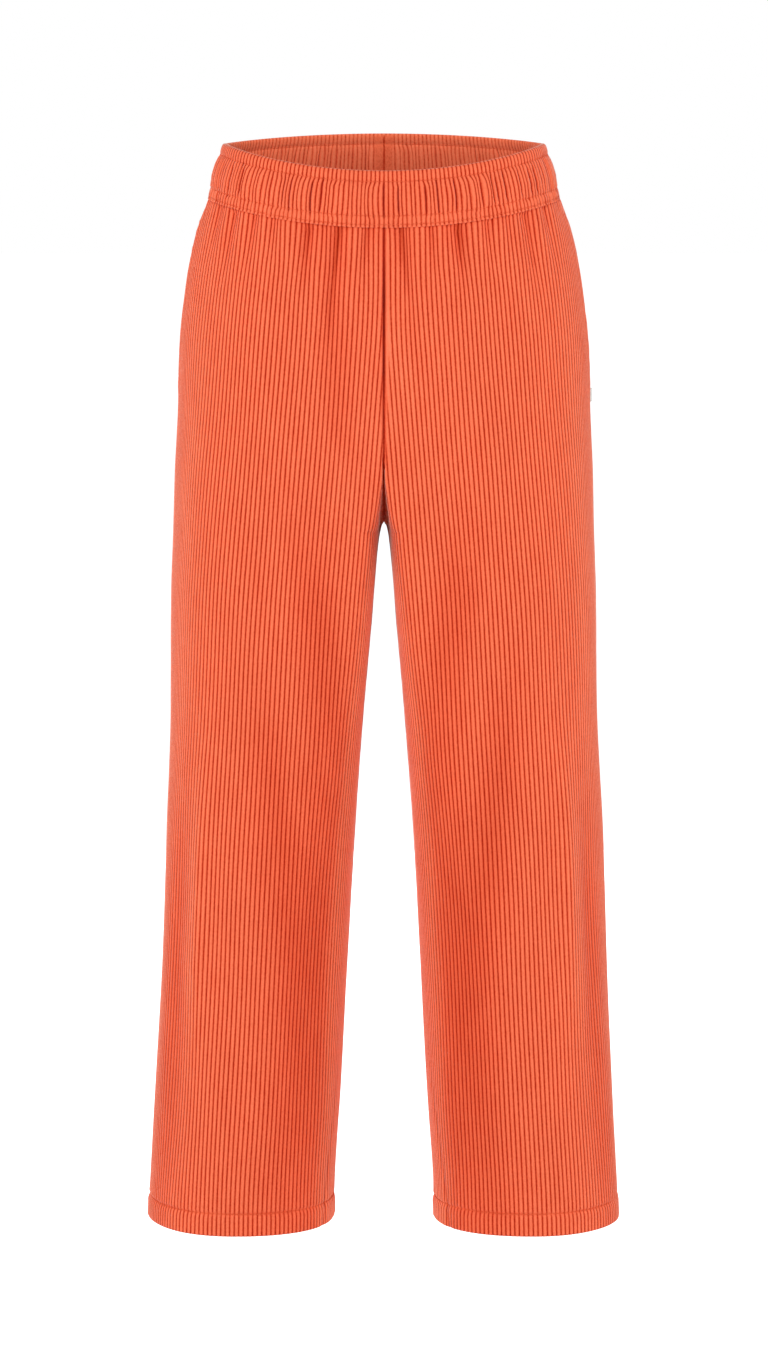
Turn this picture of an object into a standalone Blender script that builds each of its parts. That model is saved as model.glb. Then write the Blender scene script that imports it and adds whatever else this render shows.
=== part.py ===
"""Pull-on wide-leg corduroy trousers, filled out as if worn, with nobody in them.

Metres, +Z up. -Y is the wearer's front and +X the wearer's left. The origin is the middle of
the waist opening, halfway up the elastic waistband at the sides, where the waist holds it.
Heights below the origin are called drops, and are positive.
"""

import math
from collections import namedtuple

import bmesh
import bpy
import numpy as np

# Cloth and seams.
CLOTH = 0.0018  # one layer of wide-wale corduroy
BAND_WALL = 0.0045  # the waistband: two layers over the elastic
LABEL_WALL = 0.0010  # the tab, a woven tape folded once
FACING_WALL = 0.0012  # the strip that closes a pocket mouth from behind
GAP = 0.0003  # left between pieces that are sewn together

# Waistband. Its rim dips at the front and rises at the back.
BAND_HEIGHT = 0.049
RIM_SIDE_Z = 0.025
FRONT_DIP = 0.024
BACK_RISE = 0.009
RIM_BEND = 0.9  # the power of cos squared that the rim follows round the waist
LIFT_FADE = 0.10  # how far below the band the dip and the rise die out
RIM_HALF_WIDTH = 0.1465
RIM_FRONT = 0.0985
RIM_BACK = 0.0950
WAIST_ROUND = 2.35  # superellipse power of the waist, 2 being an ellipse

# Centre seam, from the front waist under the crotch to the back waist.
CROTCH_DROP = 0.321
CROTCH_Y = -0.005
FRONT_CURVE_RISE = 0.076
BACK_CURVE_RISE = 0.131
SEAM_LIP = 0.015  # reach of the hollow where the two legs part at the centre seam
ARCH_DROP = 0.020  # height of the small arch between the legs under the crotch point

# Side seams, hems and pockets.
HEM_DROP = 0.972
HEM_DEPTH = 0.021  # turned up once, so the cloth is double there
MOUTH_TOP = 0.034  # drop of a pocket mouth's upper end
MOUTH_BOTTOM = 0.192
MOUTH_GAPE = 0.0024  # how far the mouth's front edge stands back from the seam
MOUTH_PROUD = 0.0012  # and how far it stands off the body
LABEL_DROP = 0.204
LABEL_HEIGHT = 0.012
LABEL_REACH = 0.011
LABEL_TILT = math.radians(14)
LABEL_EDGE = 0.0004  # how round its edges are

# Outline of the left half at each drop. out: side, from the middle plane. inner: inner leg.
# front and back: furthest points. flat: where the front and back run straight across.
# corner and side: superellipse powers towards the inner leg and towards the side.
# forward: how far the side seam lies in front of the widest point.
# crease_front and crease_back: x of the lengthwise grain line down the middle of a leg.
Section = namedtuple(
    "Section", "drop out inner front back flat corner side forward crease_front crease_back"
)
SECTIONS = [
    Section(0.024, 0.1600, 0.0000, 0.1080, 0.1040, 0.0000, 2.60, 2.35, 0.018, 0.0860, 0.0780),
    Section(0.060, 0.1718, 0.0000, 0.1115, 0.1110, 0.0000, 2.80, 2.35, 0.017, 0.0910, 0.0830),
    Section(0.100, 0.1797, 0.0000, 0.1145, 0.1200, 0.0080, 3.00, 2.35, 0.015, 0.0940, 0.0870),
    Section(0.160, 0.1862, 0.0000, 0.1165, 0.1310, 0.0300, 3.60, 2.35, 0.010, 0.0950, 0.0910),
    Section(0.225, 0.1884, 0.0000, 0.1175, 0.1350, 0.0600, 5.60, 2.35, 0.004, 0.0960, 0.0940),
    Section(0.270, 0.1908, 0.0010, 0.1175, 0.1320, 0.0820, 7.60, 2.33, 0.001, 0.0965, 0.0960),
    Section(0.321, 0.1924, 0.0048, 0.1165, 0.1245, 0.0975, 8.00, 2.30, 0.000, 0.0980, 0.0980),
    Section(0.390, 0.1950, 0.0102, 0.1135, 0.1165, 0.1026, 6.60, 2.28, 0.000, 0.1026, 0.1026),
    Section(0.500, 0.1966, 0.0197, 0.1080, 0.1085, 0.1081, 3.90, 2.25, 0.000, 0.1081, 0.1081),
    Section(0.600, 0.2012, 0.0273, 0.1020, 0.1030, 0.1142, 2.90, 2.20, 0.000, 0.1142, 0.1142),
    Section(0.720, 0.2060, 0.0345, 0.0965, 0.0985, 0.1202, 2.45, 2.18, 0.000, 0.1202, 0.1202),
    Section(0.850, 0.2132, 0.0410, 0.0925, 0.0950, 0.1271, 2.30, 2.15, 0.000, 0.1271, 0.1271),
    Section(0.951, 0.2187, 0.0468, 0.0900, 0.0915, 0.1328, 2.15, 2.15, 0.000, 0.1328, 0.1328),
    Section(0.972, 0.2197, 0.0470, 0.0908, 0.0923, 0.1333, 2.15, 2.15, 0.000, 0.1333, 0.1333),
]

# The waistband's own profile. below: under the rim. swell: out from the straight line between
# the rim and the seam.
Station = namedtuple("Station", "below swell")
BAND_PROFILE = [
    Station(0.0490, 0.0000),
    Station(0.0410, -0.0002),
    Station(0.0330, 0.0010),
    Station(0.0200, 0.0018),
    Station(0.0130, 0.0010),
    Station(0.0098, -0.0002),
    Station(0.0050, 0.0006),
    Station(0.0014, 0.0002),
]

# The largest gathers under the waistband. share: the column they run down, as in INNER_COLUMNS.
# depth: of the trough. length: down from the band.
Gather = namedtuple("Gather", "share width depth length")
GATHERS = {
    "front_left": [
        Gather(0.14, 0.007, 0.0022, 0.055),
        Gather(0.46, 0.008, 0.0016, 0.060),
        Gather(0.76, 0.009, 0.0026, 0.080),
    ],
    "front_right": [
        Gather(0.14, 0.007, 0.0016, 0.045),
        Gather(0.46, 0.008, 0.0028, 0.085),
        Gather(0.76, 0.009, 0.0018, 0.050),
    ],
    "back_left": [
        Gather(0.25, 0.008, 0.0018, 0.060),
        Gather(0.62, 0.009, 0.0024, 0.075),
    ],
    "back_right": [
        Gather(0.25, 0.008, 0.0024, 0.080),
        Gather(0.62, 0.009, 0.0016, 0.055),
    ],
}
GATHER_START = 0.008  # a gather is full this far below the band

SEAM_TO_CREASE = 0.095  # along the cloth at the hip, from the centre seam to the grain line

# Where the mesh has its columns, as shares of the way from the centre seam or the inseam to the
# grain line, and on to the side seam, and its rows, as drops.
INNER_COLUMNS = {
    "front": [0, 0.05, 0.14, 0.24, 0.35, 0.46, 0.60, 0.76, 0.88, 1],
    "back": [0, 0.05, 0.14, 0.25, 0.36, 0.48, 0.62, 0.80, 1],
}
OUTER_COLUMNS = [0.14, 0.28, 0.42, 0.56, 0.70, 0.85, 1]
ROWS = [
    0.034, 0.048, 0.068, 0.095, 0.128, 0.160, 0.192, 0.222, 0.250, 0.275, 0.296, 0.310, 0.3175, 0.3204,
    0.321, 0.3235, 0.330, 0.343, 0.365, 0.400, 0.460, 0.540, 0.640, 0.750, 0.860, 0.935,
]
BAND_COLUMNS = 48
PATH_STEPS = 160
NORMAL_STEP = 0.001  # how far apart the points are that give the surface its slope
SHARP_ANGLE = math.radians(50)

COLLECTION = "corduroy_trousers"
SIDES = {"left": 1, "right": -1}
CORD_COLOUR = (0.80, 0.130, 0.052, 1)
CORD_INSIDE_COLOUR = (0.62, 0.110, 0.050, 1)
LABEL_COLOUR = (0.86, 0.84, 0.80, 1)


def clear_scene():
    for obj in list(bpy.data.objects):
        bpy.data.objects.remove(obj, do_unlink=True)


def make_material(name, colour, roughness):
    material = bpy.data.materials.new(name)
    material.use_nodes = True
    shader = material.node_tree.nodes["Principled BSDF"]
    shader.inputs["Base Color"].default_value = colour
    shader.inputs["Roughness"].default_value = roughness
    shader.inputs["Metallic"].default_value = 0.0
    return material


def curve_through(xs, ys, x):
    """The height at x of a smooth curve through the points, which rises and falls only as they do."""
    step = np.diff(xs)
    slope = np.diff(ys) / step
    lean = np.concatenate([slope[:1], np.zeros(len(slope) - 1), slope[-1:]])
    for i in range(1, len(slope)):
        if slope[i - 1] * slope[i] > 0:
            lean[i] = 2 / (1 / slope[i - 1] + 1 / slope[i])
    i = int(np.clip(np.searchsorted(xs, x) - 1, 0, len(step) - 1))
    t = (x - xs[i]) / step[i]
    start = (1 + 2 * t) * (1 - t) ** 2 * ys[i] + t * (1 - t) ** 2 * step[i] * lean[i]
    end = t * t * (3 - 2 * t) * ys[i + 1] + t * t * (t - 1) * step[i] * lean[i + 1]
    return float(start + end)


TABLE = {name: np.array([getattr(row, name) for row in SECTIONS]) for name in Section._fields}


def section_at(drop):
    values = {name: curve_through(TABLE["drop"], TABLE[name], drop) for name in Section._fields}
    return Section(**values)


def smooth_step(t):
    t = np.clip(t, 0, 1)
    return t * t * (3 - 2 * t)


def waist_lift(width_share, at_back):
    """How far the rim, or the seam under it, lies above its height at the side."""
    around = np.clip(1 - np.asarray(width_share) ** 2, 0, 1) ** RIM_BEND
    return np.where(at_back, BACK_RISE, -FRONT_DIP) * around


def half_front(row, at_back):
    """Points (x, y) of one half's front, or back, from the centre seam or inseam to the side."""
    sign = 1 if at_back else -1
    far = sign * (row.back if at_back else row.front)
    whole = abs(far - CROTCH_Y)
    rise = BACK_CURVE_RISE if at_back else FRONT_CURVE_RISE
    up = np.clip((CROTCH_DROP - row.drop) / rise, 0, 1)
    seam_reach = whole * math.sqrt(1 - (1 - up) ** 2)
    turn = math.pi / 2 * smooth_step(np.linspace(0, 1, PATH_STEPS))
    sine = np.sin(turn)
    cosine = np.clip(np.cos(turn), 0, 1)
    # From the seam, along the inner leg and round its corner.
    y_in = CROTCH_Y + sign * (seam_reach + (whole - seam_reach) * sine ** (2 / row.corner))
    x_in = row.flat - (row.flat - row.inner) * cosine ** (2 / row.corner)
    reach = np.abs(y_in - CROTCH_Y)
    below = max(row.drop - CROTCH_DROP, 0) / ARCH_DROP
    opened = np.sqrt(np.clip((reach**2 - seam_reach**2) / SEAM_LIP**2, 0, None) + below)
    x_in = x_in - row.inner * (1 - opened / (1 + opened**4) ** 0.25)
    # On round to the side.
    x_out = row.flat + (row.out - row.flat) * sine ** (2 / row.side)
    y_out = far * cosine ** (2 / row.side)
    return np.stack([np.append(x_in, x_out[1:]), np.append(y_in, y_out[1:])], axis=1)


class Ring:
    """The left half's outer surface at one drop: a path from the centre seam or the inseam,
    across the front, round the side and across the back, measured along its length."""

    def __init__(self, drop):
        self.row = section_at(drop)
        front = half_front(self.row, False)
        back = half_front(self.row, True)[::-1]
        self.points = np.concatenate([front, back[1:]])
        steps = np.linalg.norm(np.diff(self.points, axis=0), axis=1)
        self.along = np.append(0, np.cumsum(steps))
        widest = self.along[len(front) - 1]
        self.side = widest - self.row.forward
        self.end = self.along[-1]
        half = len(front)
        self.front_crease = np.interp(
            self.row.crease_front, self.points[:half, 0], self.along[:half]
        )
        self.back_crease = np.interp(
            self.row.crease_back, self.points[half:, 0][::-1], self.along[half:][::-1]
        )

    def marks(self, at_back):
        """Where a panel starts at its inner seam, has its grain line and ends at the side."""
        if at_back:
            return self.end, self.back_crease, self.side
        return 0.0, self.front_crease, self.side

    def at(self, along):
        x = np.interp(along, self.along, self.points[:, 0])
        y = np.interp(along, self.along, self.points[:, 1])
        return np.stack([x, y], axis=-1)


def lifted(drop, plane_points, row):
    """Adds heights to a ring's points: the upper rows follow the waistband's dip and rise."""
    fade = 1 - smooth_step((drop - SECTIONS[0].drop) / LIFT_FADE)
    lift = waist_lift(plane_points[..., 0] / row.out, plane_points[..., 1] > 0)
    return np.concatenate([plane_points, (-drop + fade * lift)[..., None]], axis=-1)


def distances(ring, at_back, columns):
    """How far along the ring each column lies. The cloth that runs in under the crotch is taken
    up by the columns near the seam, so that those near the grain line stay parallel to it."""
    start, crease, side = ring.marks(at_back)
    to_seam = np.clip(1 - columns, 0, None)
    to_side = np.clip(columns - 1, 0, None)
    spare = abs(crease - start) - SEAM_TO_CREASE
    inwards = SEAM_TO_CREASE * to_seam + spare * to_seam**2
    return crease + np.sign(start - crease) * inwards + (side - crease) * to_side


def surface_row(drop, at_back, columns, nudge=0.0):
    """Outer points at one drop. columns run 0 to 1 to the grain line and 1 to 2 to the side."""
    ring = Ring(drop)
    along = distances(ring, at_back, columns) + nudge
    return lifted(drop, ring.at(along), ring.row)


def surface_normals(drop, at_back, columns):
    """Outward unit normals, the same for two panels where they share a seam."""
    ahead = surface_row(drop, at_back, columns, NORMAL_STEP)
    behind = surface_row(drop, at_back, columns, -NORMAL_STEP)
    below = surface_row(min(drop + NORMAL_STEP, HEM_DROP), at_back, columns)
    above = surface_row(max(drop - NORMAL_STEP, SECTIONS[0].drop), at_back, columns)
    normals = np.cross(below - above, ahead - behind)
    if columns[0] == 0:
        # At the middle plane and at the inseam the surface meets its mirror image squarely.
        normals[0, 0 if drop < CROTCH_DROP else 1] = 0
        if abs(drop - CROTCH_DROP) < NORMAL_STEP:
            normals[0] = (0, 0, -1)
    return normals / np.linalg.norm(normals, axis=1)[:, None]


def gather_depth(name, drop, columns, ring, at_back):
    """How deep the gathers press in at each column."""
    along = distances(ring, at_back, columns)
    under = drop - SECTIONS[0].drop
    depth = np.zeros(len(columns))
    for gather in GATHERS[name]:
        middle = distances(ring, at_back, np.array([gather.share]))
        fade = smooth_step(under / GATHER_START) * smooth_step(1 - under / gather.length)
        depth += gather.depth * fade * np.exp(-(((along - middle) / gather.width) ** 2))
    return depth


def mouth_share(drop):
    """0 at a pocket mouth's ends and outside it, 1 at its middle."""
    t = (drop - MOUTH_TOP) / (MOUTH_BOTTOM - MOUTH_TOP)
    return math.sin(math.pi * t) if 0 < t < 1 else 0.0


def panel_rows():
    top = SECTIONS[0].drop + GAP
    hem_step = HEM_DROP - HEM_DEPTH
    return [top] + ROWS + [hem_step, hem_step + CLOTH, HEM_DROP]


def panel_walls(face, at_back):
    """Outer and inner points of one leg panel on the wearer's left, rows by columns by 3."""
    inner_shares = INNER_COLUMNS["back" if at_back else "front"]
    columns = np.array(inner_shares + [1 + share for share in OUTER_COLUMNS])
    outer, inner = [], []
    for drop in panel_rows():
        ring = Ring(drop)
        points = surface_row(drop, at_back, columns)
        normals = surface_normals(drop, at_back, columns)
        wall = 2 * CLOTH if drop > HEM_DROP - HEM_DEPTH + CLOTH / 2 else CLOTH
        points -= normals * gather_depth(face, drop, columns, ring, at_back)[:, None]
        # Each seam edge stands half a gap back from the seam.
        towards_crease = points[1] - points[0]
        points[0] += towards_crease / np.linalg.norm(towards_crease) * GAP / 2
        towards_crease = points[-2] - points[-1]
        open_by = GAP / 2
        if not at_back:
            open_by += MOUTH_GAPE * mouth_share(drop)
            points[-1] += normals[-1] * MOUTH_PROUD * mouth_share(drop)
        points[-1] += towards_crease / np.linalg.norm(towards_crease) * open_by
        within = points - normals * wall
        for wall_points in (points, within):
            wall_points[:, 0] = np.maximum(wall_points[:, 0], GAP / 2)
        outer.append(points)
        inner.append(within)
    return np.array(outer), np.array(inner)


def shell_object(name, outer, inner, material, collection, mirrored=False):
    """A closed wall between two grids of points, with its four edges closed."""
    rows, columns = outer.shape[:2]
    points = np.concatenate([outer.reshape(-1, 3), inner.reshape(-1, 3)])
    if mirrored:
        points = points * (-1, 1, 1)
    count = rows * columns

    def cell(r, c, layer=0):
        return layer * count + r * columns + c

    faces = []
    for r in range(rows - 1):
        for c in range(columns - 1):
            loop = [(r, c), (r, c + 1), (r + 1, c + 1), (r + 1, c)]
            faces.append([cell(a, b) for a, b in loop])
            faces.append([cell(a, b, 1) for a, b in reversed(loop)])
    edge = [(0, c) for c in range(columns)]
    edge += [(r, columns - 1) for r in range(1, rows)]
    edge += [(rows - 1, c) for c in range(columns - 2, -1, -1)]
    edge += [(r, 0) for r in range(rows - 2, 0, -1)]
    for here, there in zip(edge, edge[1:] + edge[:1]):
        faces.append([cell(*there), cell(*here), cell(*here, 1), cell(*there, 1)])
    return finished_object(name, points, faces, material, collection)


def finished_object(name, points, faces, material, collection):
    mesh = bpy.data.meshes.new(name)
    mesh.from_pydata([tuple(point) for point in points.tolist()], [], faces)
    body = bmesh.new()
    body.from_mesh(mesh)
    bmesh.ops.triangulate(body, faces=body.faces[:])
    bmesh.ops.recalc_face_normals(body, faces=body.faces[:])
    body.to_mesh(mesh)
    body.free()
    mesh.materials.append(material)
    mesh.shade_smooth()
    mesh.set_sharp_from_angle(angle=SHARP_ANGLE)
    obj = bpy.data.objects.new(name, mesh)
    collection.objects.link(obj)
    return obj


def make_panels(material, collection):
    for side, sign in SIDES.items():
        for place in ("front", "back"):
            name = f"{place}_{side}"
            outer, inner = panel_walls(name, place == "back")
            shell_object(name, outer, inner, material, collection, mirrored=sign < 0)


def band_ring(below, swell):
    """Points of the waistband's surface at one height: superellipse, moved out by swell."""
    share = below / BAND_HEIGHT
    base = SECTIONS[0]
    width = RIM_HALF_WIDTH + (base.out - RIM_HALF_WIDTH) * share
    front = RIM_FRONT + (base.front - RIM_FRONT) * share
    back = RIM_BACK + (base.back - RIM_BACK) * share
    turn = np.linspace(0, 2 * math.pi, BAND_COLUMNS, endpoint=False)
    sine, cosine = np.sin(turn), np.cos(turn)
    power = 2 / WAIST_ROUND
    depth = np.where(cosine > 0, front, back)
    x = width * np.sign(sine) * np.abs(sine) ** power
    y = -depth * np.sign(cosine) * np.abs(cosine) ** power
    z = RIM_SIDE_Z + waist_lift(x / width, y > 0) - below
    ring = np.stack([x, y], axis=1)
    along = np.roll(ring, -1, axis=0) - np.roll(ring, 1, axis=0)
    outwards = np.stack([along[:, 1], -along[:, 0]], axis=1)
    outwards /= np.linalg.norm(outwards, axis=1)[:, None]
    ring = ring + outwards * swell
    return np.concatenate([ring, z[:, None]], axis=1)


def make_waistband(material, collection):
    stations = [(station.below, station.swell) for station in BAND_PROFILE]
    fold = [(0.0, -BAND_WALL / 2)]
    lining = [(below, swell - BAND_WALL) for below, swell in reversed(stations[::2])]
    lining.append((BAND_HEIGHT, -BAND_WALL))
    rings = np.array([band_ring(*station) for station in stations + fold + lining])
    count = len(rings)
    faces = []
    for i in range(count):
        for j in range(BAND_COLUMNS):
            k = (j + 1) % BAND_COLUMNS
            n = (i + 1) % count
            corners = [(i, j), (i, k), (n, k), (n, j)]
            faces.append([a * BAND_COLUMNS + b for a, b in corners])
    return finished_object("waistband", rings.reshape(-1, 3), faces, material, collection)


def make_pocket_facings(material, collection):
    """A strip behind each pocket mouth, from the points of the two panels there, moved in."""
    drops = panel_rows()
    rows = [i for i, drop in enumerate(drops) if MOUTH_TOP <= drop <= MOUTH_BOTTOM]
    edge_columns = np.array([1 + OUTER_COLUMNS[-2], 2.0])
    outer, inner = [], []
    for row in rows:
        front = surface_row(drops[row], False, edge_columns)
        back = surface_row(drops[row], True, edge_columns)
        front_normals = surface_normals(drops[row], False, edge_columns)
        back_normals = surface_normals(drops[row], True, edge_columns)
        points = np.concatenate([front, back[:1]])
        normals = np.concatenate([front_normals, back_normals[:1]])
        outer.append(points - normals * (CLOTH + GAP))
        inner.append(points - normals * (CLOTH + GAP + FACING_WALL))
    for side, sign in SIDES.items():
        name = f"pocket_facing_{side}"
        shell_object(name, np.array(outer), np.array(inner), material, collection, sign < 0)


def make_label(material, collection):
    """A blank tab of folded tape, sewn into the left side seam under the pocket mouth."""
    seam = surface_row(LABEL_DROP, False, np.array([2.0]))[0]
    behind = surface_row(LABEL_DROP, False, np.array([2.0]), LABEL_REACH)[0]
    along = behind - seam
    heading = math.atan2(along[1], along[0]) - LABEL_TILT
    bpy.ops.mesh.primitive_cube_add(size=1)
    label = bpy.context.object
    label.name = "side_label"
    label.data.name = "side_label"
    label.scale = (LABEL_REACH, LABEL_WALL, LABEL_HEIGHT)
    bpy.ops.object.transform_apply(location=False, rotation=False, scale=True)
    out = np.array([math.sin(heading), -math.cos(heading)])
    ahead = np.array([math.cos(heading), math.sin(heading)])
    middle = seam[:2] + out * (LABEL_WALL / 2 + GAP) + ahead * (LABEL_REACH / 2)
    label.location = (*middle, seam[2])
    label.rotation_euler = (0, 0, heading)
    bevel = label.modifiers.new("round_edges", "BEVEL")
    bevel.width = LABEL_EDGE
    bevel.segments = 2
    label.data.materials.append(material)
    for holder in list(label.users_collection):
        holder.objects.unlink(label)
    collection.objects.link(label)


def main():
    clear_scene()
    collection = bpy.data.collections.new(COLLECTION)
    bpy.context.scene.collection.children.link(collection)
    cord = make_material("corduroy", CORD_COLOUR, 0.9)
    facing = make_material("corduroy_facing", CORD_INSIDE_COLOUR, 0.9)
    label = make_material("woven_tape", LABEL_COLOUR, 0.7)
    make_panels(cord, collection)
    make_waistband(cord, collection)
    make_pocket_facings(facing, collection)
    make_label(label, collection)


main()
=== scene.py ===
import math
from collections import namedtuple

import bpy
import numpy as np
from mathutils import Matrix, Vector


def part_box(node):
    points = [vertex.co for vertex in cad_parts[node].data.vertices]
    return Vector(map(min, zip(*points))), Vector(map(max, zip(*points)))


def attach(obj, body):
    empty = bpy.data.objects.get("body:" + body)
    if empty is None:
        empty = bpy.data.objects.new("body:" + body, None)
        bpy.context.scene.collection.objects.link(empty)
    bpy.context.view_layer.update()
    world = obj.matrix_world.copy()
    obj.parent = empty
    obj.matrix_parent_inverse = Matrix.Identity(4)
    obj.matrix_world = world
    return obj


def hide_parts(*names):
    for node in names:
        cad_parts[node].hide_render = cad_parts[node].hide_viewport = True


# Looks for the pull-on corduroy trousers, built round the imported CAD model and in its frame.
#
# Metres, +Z up. -Y is the wearer's front and +X the wearer's left. Heights below the origin,
# which is the middle of the waist, are called drops and are positive. Ribs, gathers, creases,
# seams and hems are geometry. The nap and the thread are in the materials.

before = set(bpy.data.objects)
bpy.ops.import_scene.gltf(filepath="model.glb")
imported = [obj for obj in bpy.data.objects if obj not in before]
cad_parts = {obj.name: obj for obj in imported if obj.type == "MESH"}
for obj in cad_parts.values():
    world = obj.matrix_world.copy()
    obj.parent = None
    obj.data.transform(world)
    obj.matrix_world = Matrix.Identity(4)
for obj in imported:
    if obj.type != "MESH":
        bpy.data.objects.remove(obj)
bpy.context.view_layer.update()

# Sizes shared with the CAD.
CLOTH = 0.0018
FACING_WALL = 0.0012
LABEL_WALL = 0.0010
GAP = 0.0003
BAND_HEIGHT = 0.049
RIM_SIDE_Z = 0.025
FRONT_DIP = 0.024
BACK_RISE = 0.009
RIM_BEND = 0.9
LIFT_FADE = 0.10
RIM_HALF_WIDTH = 0.1465
RIM_FRONT = 0.0985
RIM_BACK = 0.0950
WAIST_ROUND = 2.35
CROTCH_DROP = 0.321
CROTCH_Y = -0.005
FRONT_CURVE_RISE = 0.076
BACK_CURVE_RISE = 0.131
SEAM_LIP = 0.015
ARCH_DROP = 0.020
HEM_DROP = 0.972
HEM_DEPTH = 0.021
MOUTH_TOP = 0.034
MOUTH_BOTTOM = 0.192
MOUTH_GAPE = 0.0024
MOUTH_PROUD = 0.0006
PATH_STEPS = 200
SMALL = 0.001  # between the points that a normal is taken from
RIM_STEP = 0.0015  # the same on the waistband
AT_SEAM = 0.00002  # a point nearer a seam than this is on it

# The corduroy.
WALE = 0.0042  # from rib to rib
RIB_RISE = 0.00080  # from groove to crown
RIB_STEPS = [0.0, 0.11, 0.24, 0.50, 0.76, 0.89]  # where a rib has its columns, groove at 0
RIB_ROUND = 0.46  # power of the rib's profile: lower is flatter on top
WRONG_SIDE_NAP = 0.45  # the plain side, inside a leg
NAP_ROUND = 0.85  # the same for its colour: higher has wider dark grooves
WIDEST = 0.190  # reach of the outermost rib from a panel's grain line
WAIST_SQUEEZE = 0.05  # how much closer the ribs lie at the gathered waist
SQUEEZE_FADE = 0.13

# Outline of the left half at each drop, as in the CAD, in tenths of a millimetre but for the
# two powers, corner and side. Only crease_front, the front's grain line, isn't as in the CAD:
# the ribs lean outwards from the waist to the crotch.
TENTHS = 10000  # in a metre
Section = namedtuple(
    "Section", "drop out inner front back flat corner side forward crease_front crease_back"
)
SECTION_ROWS = [
    (240, 1600, 0, 1080, 1040, 0, 2.60, 2.35, 180, 750, 780),
    (600, 1718, 0, 1115, 1110, 0, 2.80, 2.35, 170, 768, 830),
    (1000, 1797, 0, 1145, 1200, 80, 3.00, 2.35, 150, 792, 870),
    (1600, 1862, 0, 1165, 1310, 300, 3.60, 2.35, 100, 835, 910),
    (2250, 1884, 0, 1175, 1350, 600, 5.60, 2.35, 40, 885, 940),
    (2700, 1908, 10, 1175, 1320, 820, 7.60, 2.33, 10, 922, 960),
    (3210, 1924, 48, 1165, 1245, 975, 8.00, 2.30, 0, 965, 980),
    (3900, 1950, 102, 1135, 1165, 1026, 6.60, 2.28, 0, 1020, 1026),
    (5000, 1966, 197, 1080, 1085, 1081, 3.90, 2.25, 0, 1081, 1081),
    (6000, 2012, 273, 1020, 1030, 1142, 2.90, 2.20, 0, 1142, 1142),
    (7200, 2060, 345, 965, 985, 1202, 2.45, 2.18, 0, 1202, 1202),
    (8500, 2132, 410, 925, 950, 1271, 2.30, 2.15, 0, 1271, 1271),
    (9510, 2187, 468, 900, 915, 1328, 2.15, 2.15, 0, 1328, 1328),
    (9720, 2197, 470, 908, 923, 1333, 2.15, 2.15, 0, 1333, 1333),
]
UNITS = [TENTHS] * 6 + [1, 1] + [TENTHS] * 3
SECTIONS = [Section(*np.divide(row, UNITS)) for row in SECTION_ROWS]
TABLE = {name: np.array([getattr(row, name) for row in SECTIONS]) for name in Section._fields}

# Gathers and creases, in tenths of a millimetre. across: from the grain line, along the cloth,
# negative towards the middle. lean: how far it has moved at its bottom. depth: of a trough, or
# negative for a ridge. One that starts at the waistband is deepest there.
WAIST = 0.0245  # drop of a panel's top edge
Fold = namedtuple("Fold", "across lean top bottom width depth")
FOLD_ROWS = {
    "front_right": [
        (-610, 20, 245, 1150, 57, 35), (-350, 40, 245, 2030, 76, 60), (-320, -180, 850, 2600, 110, 26),
        (-220, -20, 245, 810, 51, 23), (-80, 10, 245, 1150, 66, 52), (240, 30, 245, 810, 63, 20),
        (450, 40, 245, 1010, 69, 27), (680, 60, 245, 1080, 69, 31), (900, 60, 245, 880, 63, 23),
        (-150, -650, 2600, 5600, 190, 44), (80, -440, 4200, 7200, 160, 34),
        (-580, 40, 5000, 9600, 264, 48), (-180, -60, 5600, 9300, 143, -26),
        (560, -40, 5000, 8200, 88, -38), (840, -20, 5400, 8600, 132, 38),
        (700, 100, 7200, 9650, 176, 26), (-1180, 430, 7800, 11000, 30, 12),
    ],
    "front_left": [
        (-600, 40, 245, 1690, 63, 46), (-340, 30, 245, 1080, 57, 31), (-90, 20, 245, 1280, 70, 58),
        (-200, 0, 245, 740, 45, 19), (180, 20, 245, 950, 58, 26), (390, 30, 245, 810, 60, 20),
        (590, 60, 245, 1280, 88, 35), (840, 60, 245, 950, 63, 25), (-130, -630, 2700, 5450, 190, 40),
        (120, -440, 4050, 7000, 160, 38), (-540, 40, 5100, 9600, 264, 45),
        (-120, -80, 5900, 9300, 143, -24), (580, -60, 4900, 8000, 88, -38),
        (860, -40, 5300, 8500, 132, 40), (740, 80, 7400, 9650, 176, 24),
        (-1160, 530, 7800, 11000, 30, 12),
    ],
    "back_right": [
        (-600, 30, 245, 1350, 63, 37), (-360, 30, 245, 1890, 76, 52), (-80, 20, 245, 1080, 63, 31),
        (220, 40, 245, 1620, 76, 46), (500, 40, 245, 950, 63, 26), (820, 60, 245, 1210, 76, 35),
        (1120, 60, 245, 950, 63, 23), (-100, -600, 2700, 4500, 154, 54),
        (200, -500, 3300, 5600, 165, 42), (-500, 40, 4800, 9500, 264, 45),
        (600, -60, 4200, 7800, 99, -35), (900, -40, 5000, 8600, 132, 38),
    ],
    "back_left": [
        (-630, 30, 245, 1150, 58, 31), (-400, 20, 245, 1490, 70, 43), (-140, 30, 245, 1760, 76, 52),
        (160, 20, 245, 1010, 58, 26), (440, 50, 245, 1550, 78, 43), (760, 40, 245, 1080, 63, 29),
        (1060, 60, 245, 1210, 70, 29), (-140, -560, 2800, 4700, 154, 48),
        (160, -460, 3500, 5500, 165, 45), (-520, 40, 5000, 9500, 264, 45),
        (640, -60, 4500, 8000, 99, -35), (920, -40, 5200, 8700, 132, 38),
    ],
}
FOLDS = {
    name: [Fold(*(number / TENTHS for number in row)) for row in rows]
    for name, rows in FOLD_ROWS.items()
}
GATHERS = {name: [f for f in folds if f.top <= WAIST] for name, folds in FOLDS.items()}
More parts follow.
